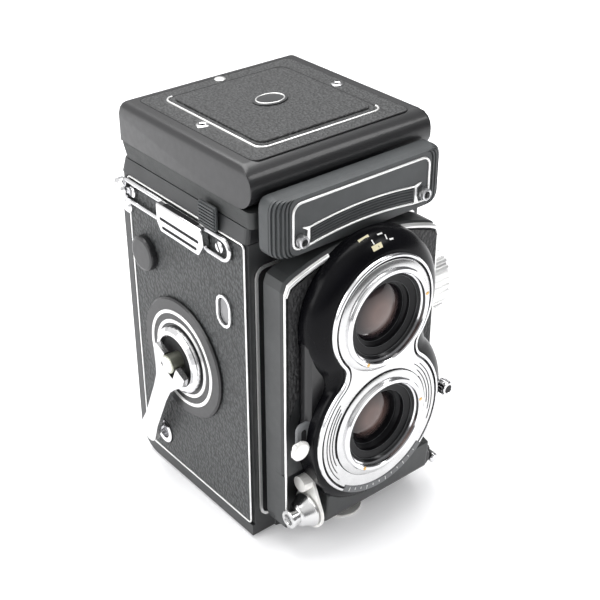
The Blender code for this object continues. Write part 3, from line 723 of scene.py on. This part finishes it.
def hub_details(finish):
    """The black hub round both lenses, its skirt and pillar, and the thumb pieces of its two levers."""
    body = "front_standard"
    sections = (
        (28.3, 33.3, -36.0), (28.2, 33.3, -39.6), (27.8, 33.0, -41.0),
        (26.9, 32.2, -42.3), (25.6, 31.0, -43.6), (24.2, 29.6, -44.5),
        (22.9, 28.4, -45.1), (22.3, 27.9, -45.3), (19.0, 24.6, -45.3),
    )
    loops = [along("Y", hub_outline(up, low), y) for up, low, y in sections]
    barrel = shell("hub_barrel", loops, finish["hub_black"], body, (True, False), smooth=60.0)
    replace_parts(barrel, "hub_casting")
    skirt = [(-36.0, 10.6), (-40.6, 10.6), (-42.4, 12.4), (-43.2, 24), (-36.0, 26)]
    corners = [[Vector((x, y, z)) * MM for y, z in skirt] for x in (-20.5, 28.4)]
    faces = strips(2, 5) + [(4, 3, 2, 1, 0), (5, 6, 7, 8, 9)]
    surface("hub_skirt", corners[0] + corners[1], faces, finish["panel"], body, 0.6)
    pillar = rounded((-28.0, 46.0), (-18.0, 92.5), 4.2, 8)
    slab("hub_pillar", pillar, "Y", -36.0, -41.2, finish["enamel"], body, 1.7)
    ledge = rounded((-32.4, 46.5), (-24.0, 58.4), 2.6, 6)
    slab("lever_ledge", ledge, "Y", -39.7, -41.0, finish["band"], body, 0.5)
    slot = rounded((-30.6, 47.0), (-28.6, 56.0), 0.95, 4)
    slab("lever_slot", slot, "Y", -40.9, -41.12, finish["shade"], body)
    knob = [(0, -44.8), (2.9, -44.8), (3.5, -44.3), (3.5, -43.4), (1.4, -43.0), (1.4, -41.3)]
    thumb = lathe("aperture_thumb", knob, "Y", LEVER_AT, finish["pale"], "aperture_lever", 36)
    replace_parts(thumb, "aperture_lever")
    for i in range(9):
        angle = math.radians(40 * i)
        at = (LEVER_AT[0] + 3.45 * math.cos(angle), LEVER_AT[1] + 3.45 * math.sin(angle))
        notch = [on_axis("Y", *at, y) for y in (-43.3, -44.3)]
        wire(f"aperture_thumb_notch_{i + 1}", notch, 0.22, finish["steel"], "aperture_lever")
    speed = [(2.5, -40.6), (2.6, -41.2), (2.6, -44.4), (2.3, -45.0), (1.7, -45.1), (1.5, -44.9)]
    dial = lathe("speed_thumb", speed, "Y", SPEED_AT, finish["chrome"], "shutter_speed_lever", 36)
    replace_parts(dial, "shutter_speed_lever")
    cap = [(0, -44.95), (1.6, -44.95)]
    lathe("speed_thumb_face", cap, "Y", SPEED_AT, finish["matte"], "shutter_speed_lever", 24)
    for i in range(14):
        angle = math.radians(360 / 14 * i)
        at = (SPEED_AT[0] + 2.6 * math.cos(angle), SPEED_AT[1] + 2.6 * math.sin(angle))
        ridge = [on_axis("Y", *at, y) for y in (-41.4, -44.3)]
        wire(f"speed_thumb_ridge_{i + 1}", ridge, 0.2, finish["steel"], "shutter_speed_lever")


def scale_windows(finish):
    """Two cream scale windows and their marks over the top of the viewing lens's barrel."""

    def patch(name, angle, radius, depth, half_turn, drop, kind):
        low, high = angle - half_turn, angle + half_turn
        inner, front = radius - drop[0], depth - drop[1]
        corners = ((low, radius, depth), (high, radius, depth), (high, inner, front), (low, inner, front))
        points = []
        for turn, r, y in corners:
            a = math.radians(turn)
            points.append(Vector((r * math.cos(a), y, VIEWING + r * math.sin(a))) * MM)
        surface(name, points, [(0, 1, 2, 3)], finish[kind], "front_standard")

    patch("scale_window_1", 100.3, 28.35, -40.0, 4.4, (1.2, 1.9), "cream")
    patch("scale_window_2", 95.2, 26.1, -43.45, 4.6, (1.5, 1.0), "cream")
    patch("scale_mark_1", 96.6, 27.35, -42.1, 0.5, (1.2, 1.2), "white")
    patch("scale_mark_2", 88.3, 27.9, -41.3, 2.2, (0.3, 0.45), "white")
    patch("scale_mark_3", 84.6, 27.3, -42.1, 0.5, (1.2, 1.2), "white")
    patch("scale_mark_4", 81.0, 26.2, -43.4, 1.9, (0.4, 0.35), "white")
    ticks = ((98.6, 28.1, -40.9), (102.2, 28.1, -40.9), (94.2, 25.5, -43.95))
    for i, (angle, radius, depth) in enumerate(ticks):
        patch(f"scale_tick_{i + 1}", angle, radius, depth, 0.3, (0.4, 0.5), "engraving_and_painted_shade")


def face_details(finish):
    """The plate round both lenses with its rim, scales and engraved arcs, and the two lens mounts."""
    body = "front_standard"
    rim = (
        (0.0, -45.3), (0.0, -46.4), (0.35, -46.75), (1.0, -46.75),
        (1.15, -46.2), (1.7, -46.2), (1.85, FACE_FRONT),
    )
    loops = [along("Y", figure_eight(21.9 - inset, 27.5 - inset, 6 + inset), y) for inset, y in rim]
    edge = shell("face_rim", loops, finish["chrome"], body, (False, False), smooth=50.0)
    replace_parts(edge, "face_plate")
    field = figure_eight(21.9 - 1.85, 27.5 - 1.85, 6 + 1.85)
    openings = [circle((0, z), 17.5, 56) for z in (TAKING, VIEWING)]
    pierced("face_field", field, openings, "Y", FACE_FRONT, finish["satin_chrome"], body)
    groove = figure_eight(21.9 - 1.42, 27.5 - 1.42, 6 + 1.42)
    wire("face_groove", along("Y", groove, -46.3), 0.25, finish["shade"], body, True, 1)
    cone = [(19.9, -46.62), (19.5, -46.9), (17.8, -47.6), (17.4, -47.6)]
    lathe("viewing_collar", cone, "Y", (0, VIEWING), finish["satin_chrome"], body, 72)
    dish = [(20.2, -46.62), (20.2, -47.1), (19.8, -47.3), (17.8, -47.7), (17.4, -47.7)]
    lathe("taking_collar", dish, "Y", (0, TAKING), finish["satin_chrome"], body, 72)
    line = along("Y", circle((0, TAKING), 20.3, 72), -46.75)
    wire("taking_collar_line", line, 0.16, finish["shade"], body, True, 1)
    for name, z in (("viewing", VIEWING), ("taking", TAKING)):
        ring = [
            (17.8, -46.4), (17.8, -48.5), (17.4, -49.0), (16.3, -49.0), (16.0, -48.7), (15.9, -47.6),
            (15.4, -47.2), (15.3, -45.6),
        ]
        mount = lathe(f"{name}_mount", ring, "Y", (0, z), finish["chrome"], body, 72)
        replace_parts(mount, f"{name}_bayonet")
        deep = 1.7 if name == "viewing" else 3.6
        cell = [
            (15.4, -46.3), (14.5, -46.4), (14.2, -46.0), (11.9, -45.6), (11.7, -45.0 + deep * 0.3),
            (10.6, -44.8 + deep * 0.5), (10.4, -44.2 + deep * 0.6), (10.0, -43.9 + deep), (9.8, -43.2 + deep),
        ]
        barrel = lathe(f"{name}_barrel", cell, "Y", (0, z), finish["barrel"], body, 72)
        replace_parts(barrel, f"{name}_cell")
        dome = [(0, -46.6), (2, -46.53), (4, -46.3), (6, -45.9), (8, -45.3), (10.0, -44.5)]
        curve = [(r, y + deep) for r, y in dome]
        element = lathe(f"{name}_element", curve, "Y", (0, z), finish[f"{name}_glass"], body, 64)
        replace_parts(element, f"{name}_glass")
        for i, (radius, at) in enumerate(((14.4, -46.4), (11.8, -45.5), (10.5, -44.7 + deep * 0.6))):
            ridge = along("Y", circle((0, z), radius, 64), at)
            wire(f"{name}_barrel_ring_{i + 1}", ridge, 0.1, finish["casting"], body, True, 1)
        for i, angle in enumerate((238, 12)):
            turn = math.radians(angle)
            at = (16.8 * math.cos(turn), z + 16.8 * math.sin(turn))
            dot = [(0, -49.3), (0.5, -49.2), (0.75, -48.9)]
            lathe(f"{name}_dot_{i + 1}", dot, "Y", at, finish["brass"], body, 16)
    for name, start, end in (
        ("left", (150, 146, 143, 140), (196, 204, 212, 220)),
        ("right", (2, -4, -12, -22), (34, 42, 50, 44)),
    ):
        for i, radius in enumerate((20.6, 21.8, 23.0, 24.2)):
            line = along("Y", arc((0, TAKING), radius, start[i], end[i], 24), FACE_FRONT)
            wire(f"engraved_{name}_{i + 1}", line, 0.17, finish["shade"], body, False, 1)
    outer, inner = arc((0, TAKING), 27.3, 232, 317, 40), arc((0, TAKING), 24.9, 317, 232, 40)
    slab("scale_band", outer + inner, "Y", -46.4, -46.85, finish["band"], body)
    dark = along("Y", arc((0, TAKING), 25.9, 196, 231, 24), -46.62)
    wire("face_arc", dark, 0.2, finish["shade"], body, False, 1)
    for i in range(12):
        turn = math.radians(238 + 6.5 * i)
        reach = 26.8 if i % 3 == 0 else 26.2
        ends = [(r * math.cos(turn), TAKING + r * math.sin(turn)) for r in (25.4, reach)]
        wire(f"scale_stroke_{i + 1}", along("Y", ends, -46.88), 0.13, finish["white"], body, False, 1)


def release_details(finish):
    """The release's collar and the flash socket with its lever's tip."""
    body = "front_standard"
    collar = [
        (6.3, -25.3), (6.3, -26.0), (5.9, -26.3), (4.3, -30.0), (3.4, -30.3), (3.0, -30.7), (3.0, -32.8),
        (3.4, -33.0), (3.4, -33.9), (3.1, -34.2), (2.1, -34.2), (1.9, -33.8), (1.9, -30.6), (0, -30.6),
    ]
    cone = lathe("release_cone", collar, "X", RELEASE, finish["satin_chrome"], body, 48)
    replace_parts(cone, "release_collar")
    cup = [(2.6, -36.1), (3.6, -36.4), (3.6, -39.8), (3.2, -40.3), (1.4, -40.3), (1.3, -39.0), (0, -39.0)]
    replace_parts(lathe("sync_cup", cup, "Y", SYNC_AT, finish["enamel"], body, 32), "sync_socket")
    lathe("sync_pin", [(0, -40.0), (0.7, -39.9), (0.8, -38.9)], "Y", SYNC_AT, finish["brass"], body, 16)
    tip = [(0, -40.7), (1.4, -40.6), (1.9, -40.1), (1.9, -39.4)]
    lathe("sync_lever_tip", tip, "Y", (34.9, 11.1), finish["chrome"], "sync_lever", 20)


def rear_details(finish):
    """The leather on the back, and the bright line round it."""
    body = "camera_back"
    hide_outline = rounded((-33.5, 8.5), (33.5, 99.0), 3)
    slab("rear_leather", hide_outline, "Y", 49.3, 49.9, finish["leather"], body, 0.2)
    border = along("Y", rounded((-34.2, 7.8), (34.2, 99.7), 3.6), 49.5)
    wire("rear_line", border, 0.3, finish["trim"], body, True)


def crank_details(finish):
    """The rings round the crank, its hub's floor and nut, and the glass over the counter."""
    body = "camera_body"
    for radius in (17.9, 14.3):
        ring = [(radius - 0.7, -38.8), (radius - 0.6, -39.15), (radius + 0.6, -39.15), (radius + 0.7, -38.8)]
        lathe(f"crank_ring_{round(radius)}", ring, "X", CRANK, finish["trim"], body, 72)
    lathe("crank_floor", [(3.3, -40.05), (9.6, -40.05)], "X", CRANK, finish["matte"], "crank_hub", 48)
    nut = [(3.45, -39.95), (3.45, -44.9), (3.0, -45.18), (0, -45.18)]
    lathe("crank_nut", nut, "X", CRANK, finish["nut"], "crank_hub", 36)
    glass = rounded((-12.9, 85.6), (-7.5, 95.4), 2.6)
    slab("counter_glass", glass, "X", -37.0, -37.5, finish["window"], body)


# Light and view


def stage():
    """A pale floor, a soft sky that's brighter from behind on the left, and three soft lights."""
    bpy.ops.mesh.primitive_plane_add(size=4.0, location=(0.0, 0.0, 0.0))
    floor = bpy.context.object
    floor.name = "floor"
    floor.data.materials.append(paper("floor_paper", (0.87, 0.87, 0.88)))
    world = bpy.data.worlds.new("studio")
    bpy.context.scene.world = world
    world.use_nodes = True
    nodes, links = world.node_tree.nodes, world.node_tree.links
    direction = nodes.new("ShaderNodeTexCoord")
    facing = nodes.new("ShaderNodeVectorMath")
    facing.operation = "DOT_PRODUCT"
    facing.inputs[1].default_value = Vector((-0.45, 0.35, 0.82)).normalized()
    links.new(direction.outputs["Generated"], facing.inputs[0])
    glow = ramp(nodes, links, facing.outputs["Value"], (0.16, 0.16, 0.165), (1.0, 1.0, 1.0), 0.05, 0.6)
    links.new(glow, nodes["Background"].inputs["Color"])
    nodes["Background"].inputs["Strength"].default_value = 1.05
    for name, at, size, power in (
        ("top_box", (0.15, 0.35, 1.2), 1.1, 17.0),
        ("left_box", (-1.2, 0.3, 0.6), 0.8, 7.0),
        ("strip_box", (0.75, -0.75, 0.9), 0.35, 3.0),
    ):
        light = bpy.data.lights.new(name, "AREA")
        light.size = size
        light.energy = power
        lamp = bpy.data.objects.new(name, light)
        lamp.location = at
        lamp.rotation_euler = (Vector((0.0, 0.0, 0.07)) - Vector(at)).to_track_quat("-Z", "Y").to_euler()
        bpy.context.scene.collection.objects.link(lamp)
    bpy.context.scene.view_settings.view_transform = "Standard"


def photo_view():
    """The camera where the photographer stood."""
    data = bpy.data.cameras.new("photo_camera")
    data.sensor_width = 36.0
    data.lens = 71.05
    data.shift_x = 0.001
    data.shift_y = -0.0039
    data.clip_start = 0.01
    camera = bpy.data.objects.new("photo_camera", data)
    camera.location = EYE
    camera.rotation_euler = Vector(SIGHT).to_track_quat("-Z", "Y").to_euler()
    bpy.context.scene.collection.objects.link(camera)
    bpy.context.scene.camera = camera


def dress(frame, finish):
    """Gives every CAD node its material and smooth shading."""
    chosen = {node: kind for kind, nodes in NODE_FINISH.items() for node in nodes}
    for name, obj in frame["nodes"].items():
        obj.data.materials.clear()
        obj.data.materials.append(finish[chosen[name]])
        obj.data.shade_smooth()
        obj.data.set_sharp_from_angle(angle=math.radians(32))


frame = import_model()
materials = finishes()
dress(frame, materials)
for details in (
    side_trims, lid_details, nameplate, hood_details, standard_details, hub_details, scale_windows,
    face_details, release_details, rear_details, crank_details,
):
    details(materials)
stage()
photo_view()
